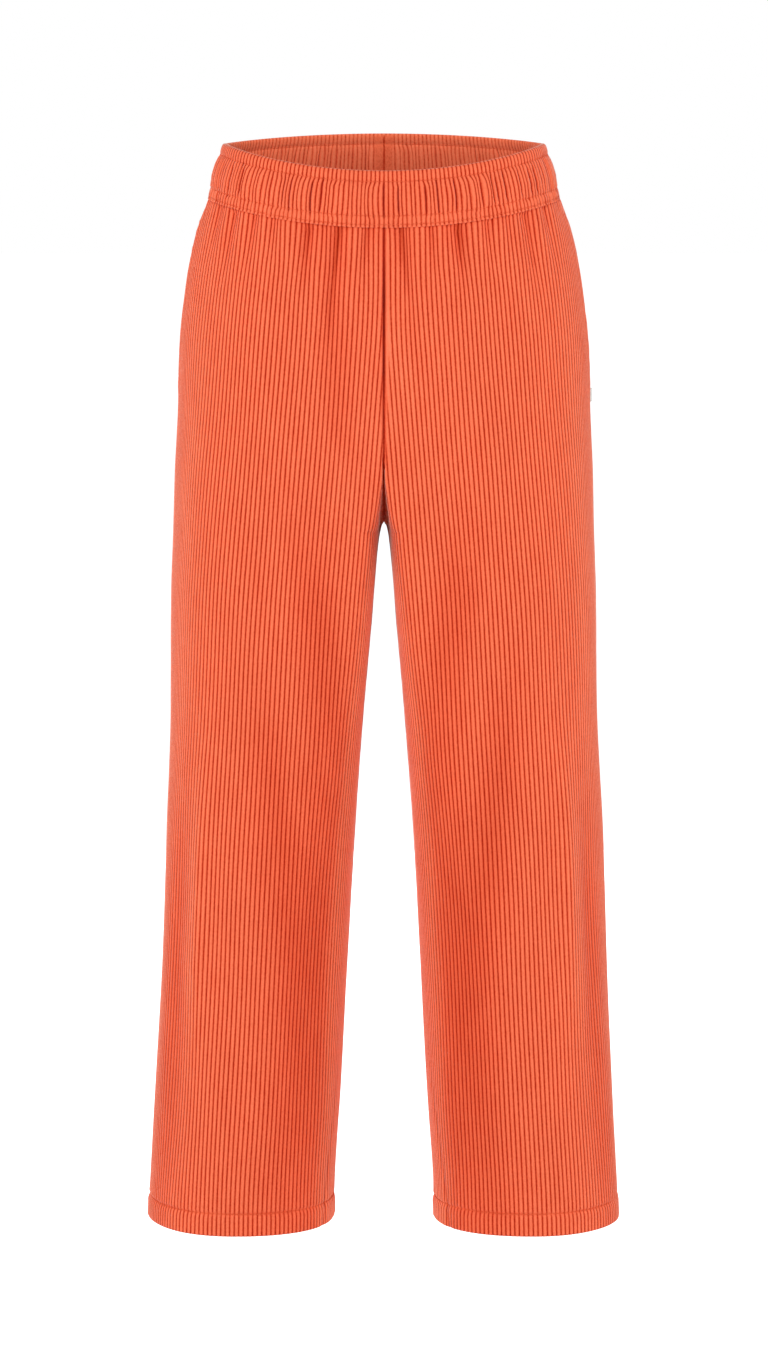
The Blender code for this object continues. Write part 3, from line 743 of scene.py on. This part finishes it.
def waistband(material):
    """The gathered elastic waistband: ribs of uneven width that fold and lean between its
    stitched lines, and an even header above them."""
    ribs = BAND_RIBS
    draw = np.random.default_rng(7)
    even = np.arange(ribs + 1) / ribs
    widths = draw.uniform(0.72, 1.32, ribs)
    widths *= 1 + 0.12 * Waves(8, 0.16, 1.0)(even[:-1], np.zeros(ribs))
    uneven = np.append(0, np.cumsum(widths)) / widths.sum()
    drift = uneven - even
    window = np.hanning(15)[1:-1]
    window /= window.sum()
    around = np.concatenate([drift[-8:-1], drift, drift[1:8]])
    uneven -= 0.9 * np.convolve(around, window, "same")[7:-7]
    uneven -= uneven[0]
    uneven /= uneven[-1]
    folded = draw.uniform(0, 1, ribs) < DEEP_SHARE
    deepest = draw.uniform(1.8, 3.2, ribs)
    deep = np.where(folded, deepest, draw.uniform(0.6, 1.15, ribs))
    crown = draw.uniform(-0.0003, 0.0004, ribs)
    fold_top = draw.uniform(0.0100, 0.0170, ribs)
    fold_bottom = draw.uniform(0.0330, 0.0420, ribs)
    lean = 0.0005 * draw.normal(0, 1, ribs)
    lean = lean + 0.0010 * Waves(9, 0.09, 1.0)(even[:-1], np.zeros(ribs))
    rib = np.repeat(np.arange(ribs), len(RIB_STEPS))
    t = np.tile(np.array(RIB_STEPS), ribs)
    groove = np.where(t < 0.5, rib, (rib + 1) % ribs)
    off_groove = np.where(t < 0.5, t, 1 - t)
    profile = np.abs(np.sin(np.pi * t)) ** RIB_ROUND
    irregular = uneven[rib] + t * (uneven[rib + 1] - uneven[rib])
    regular = (rib + t) / ribs

    rows, nap_and_shade_values, tones = [], [], []
    stations = [(False, *row) for row in BAND_OUTSIDE] + [(True, *row) for row in BAND_INSIDE]
    for inside, below, swell in stations:
        below = below / TENTHS
        swell = swell / TENTHS
        # The ribs' places: even in the header, uneven and leaning in the folds.
        blend = ease((below - HEADER) / 0.006)
        blend *= 1 - 0.75 * ease((below - LOWER_STITCHES[0]) / 0.004)
        share = regular + blend * (irregular - regular)
        part = np.clip((below - HEADER) / (LOWER_STITCHES[0] - HEADER), 0, 1)
        arch = math.sin(math.pi * part)
        bow = 0.0003 * arch * np.sin(4 * math.pi * share)
        sway = np.interp(share, even[:-1], lean, period=1.0) * arch**0.8
        share = share + (bow + sway) / RIM_LENGTH
        # Their height, with deep folds in some of the grooves.
        envelope = ease((below - fold_top[groove] + 0.004) / 0.006)
        envelope *= ease((fold_bottom[groove] + 0.003 - below) / 0.006)
        depth = 1 + (deep[groove] - 1) * envelope * (0.55 if inside else 1.0)
        rise = HEADER_RISE if below < HEADER else FOLD_RISE
        if below > LOWER_STITCHES[0]:
            rise = LOWER_RISE
        pinch = min(abs(below - line) for line in (HEADER,) + LOWER_STITCHES)
        rise = rise * (1 - 0.5 * float(bell(pinch, 0.0011)))
        relief = rise * (profile - 0.6)
        relief -= 0.00110 * (depth - 1) * bell(off_groove, 0.24) * envelope
        relief += crown[rib] * np.sin(np.pi * t) * envelope
        if below > LOWER_ZONE:
            ripple = Waves(10, 0.0065, 1.0)(share, np.full(len(share), below * 9))
            relief += 0.00065 * ripple
        contrast = 1.0 - 0.16 * ease((below - LOWER_ZONE) / 0.002)
        nap_and_shade = 1 - (1 - np.abs(np.sin(np.pi * t)) ** NAP_ROUND) * contrast
        # Painted shade: the nap is darker in the deep folds. It is also darker along the stitched
        # lines.
        nap_and_shade *= 1 - 0.45 * np.clip(depth - 1, 0, 1.5) * bell(off_groove, 0.20)
        nap_and_shade *= 1 - 0.24 * float(bell(pinch, 0.0007)) * (0.2 + 1.4 * (off_groove < 0.2))
        if inside:
            nap_and_shade = INSIDE_NAP + 0.55 * (nap_and_shade - INSIDE_NAP)
            x, y, _ = rim_path(below, 0.0, share)[0].T
            patch = ease((PATCH_HALF_WIDTH - np.abs(x)) / 0.0010)
            patch = patch * (y > 0) * ease((below - 0.001) / 0.002)
            relief = relief * (1 - patch) * 0.9 + patch * 0.0006
            relief = 0.0009 * patch * bell(x, 0.0006) - relief
            nap_and_shade = nap_and_shade * (1 - patch) + patch * (0.62 - 0.4 * bell(x, 0.0007))
        points, _ = rim_path(below, swell + relief, share)
        if not inside:
            points[:, 2] -= SCALLOP * profile * ease((below - 0.0465) / 0.0015)
        rows.append(points)
        nap_and_shade_values.append(nap_and_shade)
        tones.append(np.full(len(nap_and_shade), INSIDE_TONE if inside else 0.0))
    ids = grid_ids(rows)
    ids = np.concatenate([ids, ids[:, :1]], axis=1)
    ids = np.concatenate([ids, ids[:1]], axis=0)
    attributes = {"nap_and_shade": np.concatenate(nap_and_shade_values), "tone": np.concatenate(tones)}
    return mesh_object("waistband", np.concatenate(rows), grid_faces(ids), attributes, material)


# Stitches, facings and tab.

def sampled(spots, length, values):
    return np.stack([np.interp(spots, length, column) for column in values.T], axis=1)


def stitches(name, paths, material):
    """Short threads along each path, which is given by its points and its normals."""
    sides = 5
    sink = np.array([-1.2, 0.35, 0.75, 0.35, -1.2]) * THREAD
    fat = (np.array([0.6, 0.95, 1.0, 0.95, 0.6]) * THREAD)[:, None, None]
    where = np.linspace(-0.44, 0.44, len(sink))
    angle = (np.arange(sides) / sides * 2 * math.pi)[None, :, None]
    threads = []
    for line, normals in paths:
        length = np.append(0, np.cumsum(np.linalg.norm(np.diff(line, axis=0), axis=1)))
        number = max(int(length[-1] / STITCH), 1)
        pitch = length[-1] / number
        for i in range(number):
            spots = (i + 0.5 + where) * pitch
            middle = sampled(spots, length, line)
            up = unit(sampled(spots, length, normals))
            aside = unit(np.cross(up, unit(np.gradient(middle, axis=0))))
            middle = (middle + up * sink[:, None])[:, None]
            round_it = fat * np.cos(angle) * aside[:, None]
            threads.append(middle + round_it + fat * np.sin(angle) * up[:, None])
    level, corner = np.divmod(np.arange((len(sink) - 1) * sides), sides)
    beside = (corner + 1) % sides
    walls = np.stack([corner, beside, sides + beside, sides + corner], axis=1)
    walls += level[:, None] * sides
    ends = np.stack([np.arange(sides)[::-1], np.arange(sides) + (len(sink) - 1) * sides])
    starts = np.arange(len(threads))[:, None, None] * len(sink) * sides
    faces = [(starts + walls).reshape(-1, 4), (starts + ends).reshape(-1, sides)]
    return mesh_object(name, np.concatenate(threads).reshape(-1, 3), faces, {}, material)


def band_line(below, swell, inside=False):
    """A stitched line round the waistband."""
    points, outwards = rim_path(below, swell, np.linspace(0, 1, 700))
    return points, -outwards if inside else outwards


def panel_line(panel, mirrored, spots):
    """Points and normals of a line over a panel. A spot is its drop, reach and lift."""
    points, normals = [], []
    for drop, reach, lift in spots:
        along = panel.along(drop, reach)
        before, point, after = ring(drop).at(along + np.array([-SMALL, 0, SMALL]))
        normals.append(outwards_from(after - before))
        points.append(point + normals[-1] * lift)
    flip = (-1 if mirrored else 1, 1, 1)
    return np.array(points) * flip, np.array(normals) * flip


def hem_paths(panel, mirrored):
    drop = HEM_DROP - HEM_DEPTH
    _, inner, outer = panel.spread(drop)
    spots = np.linspace(-inner + 0.001, outer - 0.001, 240)
    return [panel_line(panel, mirrored, [(drop, spot, -0.0003) for spot in spots])]


def pocket_paths(panel, mirrored):
    """One row of stitches beside the pocket mouth's folded edge."""
    spots = []
    for drop in np.linspace(MOUTH_TOP + 0.002, MOUTH_BOTTOM + 0.004, 80):
        _, _, outer = panel.spread(drop)
        spots.append((drop, outer - MOUTH_GAPE * mouth_share(drop) - 0.0062, 0.0008))
    return [panel_line(panel, mirrored, spots)]


def pocket_facing(side, material):
    """The ribbed strip that closes a pocket mouth from behind."""
    drops = np.linspace(MOUTH_TOP + 0.002, MOUTH_BOTTOM - 0.002, 60)
    across = np.linspace(-1, 1, 37)
    outer, inner = [], []
    for drop in drops:
        here = ring(drop)
        along = here.side + across * 0.012
        points = here.at(along)
        ahead = here.at(along + SMALL) - here.at(along - SMALL)
        normals = outwards_from(ahead)
        rib = 0.0003 * np.abs(np.sin(np.pi * across * 0.012 / WALE)) ** RIB_ROUND
        depth = CLOTH + GAP + 0.0002
        outer.append(points - normals * (depth + 0.0003 - rib)[:, None])
        inner.append(points - normals * (depth + FACING_WALL))
    ids = grid_ids(outer)
    faces = grid_faces(ids) + turned(grid_faces(ids + ids.size), True)
    edge = np.concatenate([ids[0, :-1], ids[:-1, -1], ids[-1, :0:-1], ids[:0:-1, 0]])
    nxt = np.roll(edge, -1)
    faces.append(np.stack([edge, nxt, nxt + ids.size, edge + ids.size], axis=1))
    points = np.concatenate(outer + inner)
    if side == "right":
        points = points * (-1, 1, 1)
    nap_and_shade_values = np.full(len(points), 0.5)
    name = f"pocket_facing_{side}"
    return mesh_object(name, points, turned(faces, side == "right"), {"nap_and_shade": nap_and_shade_values}, material)


def side_tab(material):
    """The blank tab: one tape folded back on itself and caught in the side seam."""
    low, high = (np.array(corner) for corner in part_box("side_label"))
    margin = np.array([LABEL_WALL * 0.75, 0.0])
    start = low[:2] + margin
    end = high[:2] - margin
    ahead = unit(end - start)
    aside = np.array([ahead[1], -ahead[0]])
    reach = np.linalg.norm(end - start)
    half = LABEL_WALL * 0.42
    out = [(0.0, half), (0.35, half * 1.15), (0.75, half * 1.25)]
    turns = np.linspace(math.pi / 2, -math.pi / 2, 9)
    bend = [(1 - 0.06 * (1 - math.cos(a)), half * 1.2 * math.sin(a)) for a in turns]
    profile = out + bend + [(far, -wide) for far, wide in out[::-1]]
    heights = np.linspace(low[2], high[2], 25)
    rings = []
    for z in heights:
        lip = 0.94 if z in (heights[0], heights[-1]) else 1.0
        rings.append([(*(start + ahead * reach * f + aside * w * lip), z) for f, w in profile])
    ids = grid_ids(rings)
    faces = grid_faces(np.concatenate([ids, ids[:, :1]], axis=1))
    faces += [ids[0][None, ::-1], ids[-1][None, :]]
    return mesh_object("side_label", np.concatenate(rings), faces, {}, material)


# Materials.

class Nodes:
    """A Principled material, and short ways to add nodes to it."""

    def __init__(self, name):
        self.material = bpy.data.materials.new(name)
        self.material.use_nodes = True
        self.tree = self.material.node_tree
        self.shader = self.tree.nodes["Principled BSDF"]
        self.coordinates = self.tree.nodes.new("ShaderNodeTexCoord").outputs["Object"]

    def add(self, kind, **settings):
        node = self.tree.nodes.new(kind)
        for key, value in settings.items():
            setattr(node, key, value)
        return node

    def link(self, source, target):
        self.tree.links.new(source, target)

    def fix(self, node, **values):
        """Constant values on a node's own sockets. An underscore stands for a space."""
        for key, value in values.items():
            node.inputs[key.replace("_", " ")].default_value = value

    def drive(self, **sources):
        """Outputs linked to the shader's sockets, which are named in the same way."""
        for key, source in sources.items():
            self.link(source, self.shader.inputs[key.replace("_", " ")])

    def noise(self, scale, upright=1, detail=2.0, roughness=0.5):
        node = self.add("ShaderNodeTexNoise")
        self.fix(node, Scale=scale, Detail=detail, Roughness=roughness)
        stretched = self.add("ShaderNodeMapping")
        self.fix(stretched, Scale=(1, 1, upright))
        self.link(self.coordinates, stretched.inputs["Vector"])
        self.link(stretched.outputs["Vector"], node.inputs["Vector"])
        return node.outputs["Fac"]

    def math(self, operation, first, second):
        node = self.add("ShaderNodeMath", operation=operation)
        for socket, value in zip(node.inputs, (first, second)):
            if isinstance(value, (int, float)):
                socket.default_value = value
            else:
                self.link(value, socket)
        return node.outputs[0]

    def ranged(self, value, low, high):
        """A number from 0 to 1 moved to the range from low to high."""
        return self.math("ADD", self.math("MULTIPLY", value, high - low), low)

    def ramp(self, value, stops):
        node = self.add("ShaderNodeValToRGB")
        while len(node.color_ramp.elements) < len(stops):
            node.color_ramp.elements.new(0.5)
        for element, (place, colour) in zip(node.color_ramp.elements, stops):
            element.position = place
            element.color = (*colour, 1)
        self.link(value, node.inputs["Fac"])
        return node.outputs["Color"]

    def scaled(self, colour, factor):
        node = self.add("ShaderNodeVectorMath", operation="SCALE")
        self.link(colour, node.inputs[0])
        self.link(factor, node.inputs["Scale"])
        return node.outputs["Vector"]

    def bump(self, height, strength, distance, normal=None):
        node = self.add("ShaderNodeBump")
        self.fix(node, Strength=strength, Distance=distance)
        self.link(height, node.inputs["Height"])
        if normal is not None:
            self.link(normal, node.inputs["Normal"])
        return node.outputs["Normal"]


def corduroy(name, stops, sheen):
    """Cotton corduroy: dark grooves, partly painted shade, lighter crowns with a broken nap, and a
    soft sheen. The tone attribute tints it with painted light and shade.
    """
    made = Nodes(name)
    nap_and_shade = made.add("ShaderNodeAttribute", attribute_name="nap_and_shade").outputs["Fac"]
    tufts = made.noise(620, 0.75, 2.0, 0.6)
    fuzz = made.noise(2100, 0.6, 2.0, 0.6)
    brushed = made.noise(190, 0.22, 3.0, 0.55)
    patches = made.noise(22, 0.5, 2.0, 0.5)
    level = made.math("ADD", nap_and_shade, made.ranged(tufts, -0.24, 0.24))
    level = made.math("ADD", level, made.ranged(brushed, -0.12, 0.12))
    colour = made.ramp(level, stops)
    fine = made.ranged(fuzz, 0.90, 1.10)
    shade = made.math("MULTIPLY", fine, made.ranged(patches, 0.95, 1.05))
    tone = made.add("ShaderNodeAttribute", attribute_name="tone").outputs["Fac"]
    tint = made.add("ShaderNodeCombineXYZ")
    deep = made.math("MULTIPLY", tone, made.math("ABSOLUTE", tone, 0.0))
    red = made.math("ADD", made.math("MULTIPLY", tone, 0.20), made.math("MULTIPLY", deep, 0.50))
    made.link(made.math("ADD", red, 1.0), tint.inputs["X"])
    made.link(made.math("ADD", tone, 1.0), tint.inputs["Y"])
    made.link(made.ranged(tone, 1.0, 2.2), tint.inputs["Z"])
    toned = made.add("ShaderNodeVectorMath", operation="MULTIPLY")
    made.link(made.scaled(colour, shade), toned.inputs[0])
    made.link(tint.outputs["Vector"], toned.inputs[1])
    rough = made.ranged(fuzz, 0.82, 0.98)
    normal = made.bump(fuzz, 0.45, 0.0003, made.bump(tufts, 0.55, 0.0006))
    made.drive(Base_Color=toned.outputs["Vector"], Roughness=rough, Normal=normal)
    made.fix(made.shader, Specular_IOR_Level=0.10, Sheen_Weight=sheen)
    made.fix(made.shader, Sheen_Roughness=0.30, Sheen_Tint=(1.0, 0.86, 0.77, 1))
    return made.material


def thread_material():
    made = Nodes("thread")
    twist = made.add("ShaderNodeTexWave", wave_type="BANDS", bands_direction="DIAGONAL")
    made.fix(twist, Scale=900, Distortion=1.5)
    made.link(made.coordinates, twist.inputs["Vector"])
    height = twist.outputs["Fac"]
    colour = made.ramp(height, [(0.0, (0.62, 0.070, 0.022)), (1.0, (0.86, 0.150, 0.062))])
    made.drive(Base_Color=colour, Normal=made.bump(height, 0.5, 0.0001))
    made.fix(made.shader, Roughness=0.9, Specular_IOR_Level=0.10)
    return made.material


def tape_material():
    """Off-white woven tape, with its threads crossing."""
    made = Nodes("woven_tape")
    warp = made.add("ShaderNodeTexWave", bands_direction="Z")
    weft = made.add("ShaderNodeTexWave", bands_direction="Y")
    for weave in (warp, weft):
        made.fix(weave, Scale=420, Distortion=0.8)
        made.link(made.coordinates, weave.inputs["Vector"])
    height = made.math("MAXIMUM", warp.outputs["Fac"], weft.outputs["Fac"])
    colour = made.ramp(height, [(0.0, (0.55, 0.52, 0.48)), (1.0, (0.86, 0.84, 0.80))])
    made.drive(Base_Color=colour, Normal=made.bump(height, 0.6, 0.0002))
    made.fix(made.shader, Roughness=0.75, Sheen_Weight=0.2)
    return made.material


# Stage.

def add_light(name, place, size, power):
    """A soft rectangular light, aimed at the middle of the trousers."""
    data = bpy.data.lights.new(name, "AREA")
    data.shape = "RECTANGLE"
    data.size, data.size_y = size
    data.energy = power
    light = linked(name, data)
    light.location = place
    x, y, z = np.array(MIDDLE) - np.array(place)
    heading = math.atan2(y, x) - math.pi / 2
    light.rotation_euler = (math.atan2(math.hypot(x, y), -z), 0, heading)
    return light


def make_stage():
    scene = bpy.context.scene
    world = bpy.data.worlds.new("studio")
    world.use_nodes = True
    background = world.node_tree.nodes["Background"]
    background.inputs["Color"].default_value = (1.0, 1.0, 1.0, 1)
    paths = world.node_tree.nodes.new("ShaderNodeLightPath")
    strength = world.node_tree.nodes.new("ShaderNodeMapRange")
    strength.inputs["To Min"].default_value = AMBIENT
    strength.inputs["To Max"].default_value = 1.0
    world.node_tree.links.new(paths.outputs["Is Camera Ray"], strength.inputs["Value"])
    world.node_tree.links.new(strength.outputs["Result"], background.inputs["Strength"])
    scene.world = world
    scene.view_settings.view_transform = "Standard"

    floor_z = -HEM_DROP - FLOOR_GAP
    turns = [(-1, -1), (1, -1), (1, 1), (-1, 1)]
    corners = [(x * FLOOR_HALF, y * FLOOR_HALF, floor_z) for x, y in turns]
    mesh = bpy.data.meshes.new("floor")
    mesh.from_pydata(corners, [], [(0, 1, 2, 3)])
    paper = Nodes("floor_paper")
    grain = paper.noise(900)
    colour = paper.ramp(grain, [(0.0, (0.90, 0.90, 0.90)), (1.0, (0.94, 0.94, 0.94))])
    seen = paper.add("ShaderNodeLightPath").outputs["Is Camera Ray"]
    glow = paper.math("MULTIPLY", seen, 0.70)
    paper.drive(Base_Color=colour, Emission_Strength=glow)
    paper.fix(paper.shader, Roughness=0.9, Emission_Color=(1, 1, 1, 1))
    mesh.materials.append(paper.material)
    floor = linked("floor", mesh)

    add_light("key", (-1.05, -3.4, 2.2), (1.4, 1.0), 70)
    add_light("fill", (1.5, -3.4, 0.4), (1.4, 1.4), 22)
    add_light("low_fill", (-1.7, -3.2, -0.3), (1.0, 1.4), 5)
    add_light("side_left", (2.7, -0.6, 0.0), (0.7, 2.2), 24)
    add_light("side_right", (-2.7, -0.6, 0.0), (0.7, 2.2), 21)
    backdrop = add_light("backdrop", (0, 3.0, -0.2), (5.0, 3.2), 60)
    backdrop.visible_camera = False


def make_camera():
    data = bpy.data.cameras.new("camera")
    data.sensor_fit = "VERTICAL"
    data.sensor_height = SENSOR
    data.lens = LENS
    camera = linked("camera", data)
    camera.location = CAMERA_PLACE
    camera.rotation_euler = (math.radians(90 - CAMERA_TILT), 0, 0)
    bpy.context.scene.camera = camera


# The trousers.

def keep(piece, slot, *nodes):
    """The piece rides on the one body and stands for CAD nodes. The slot is not used."""
    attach(piece, "root")
    if nodes:
        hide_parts(*nodes)
    return piece


def make_trousers():
    outside = corduroy("corduroy", PILE_AND_SHADE_COLOURS, 0.68)
    # A shaded copy of the corduroy for the pocket facings: painted shade.
    shaded_facing = corduroy("corduroy_facing", SHADED_FACING_COLOURS, 0.1)
    thread = thread_material()
    tape = tape_material()

    band = keep(waistband(outside), "corduroy", "waistband")
    lines = [band_line(HEADER, -0.0002)]
    lines += [band_line(below, 0.0001) for below in LOWER_STITCHES]
    lines.append(band_line(HEADER, -0.0044, inside=True))
    band_stitches = keep(stitches("waistband_stitches", lines, thread), "corduroy")

    for name in FOLDS:
        place, side = name.split("_")
        mirrored = side == "right"
        piece, panel = panel_shell(name, outside)
        keep(piece, "corduroy", name)
        hem = stitches(f"hem_stitches_{name}", hem_paths(panel, mirrored), thread)
        rows = [keep(hem, "corduroy")]
        if place == "front":
            rows.append(stitches(f"pocket_stitches_{side}", pocket_paths(panel, mirrored), thread))
            keep(rows[-1], "corduroy")

    for side in ("left", "right"):
        strip = keep(pocket_facing(side, shaded_facing), "corduroy_facing", f"pocket_facing_{side}")

    tab = keep(side_tab(tape), "woven_tape", "side_label")


make_stage()
make_camera()
make_trousers()
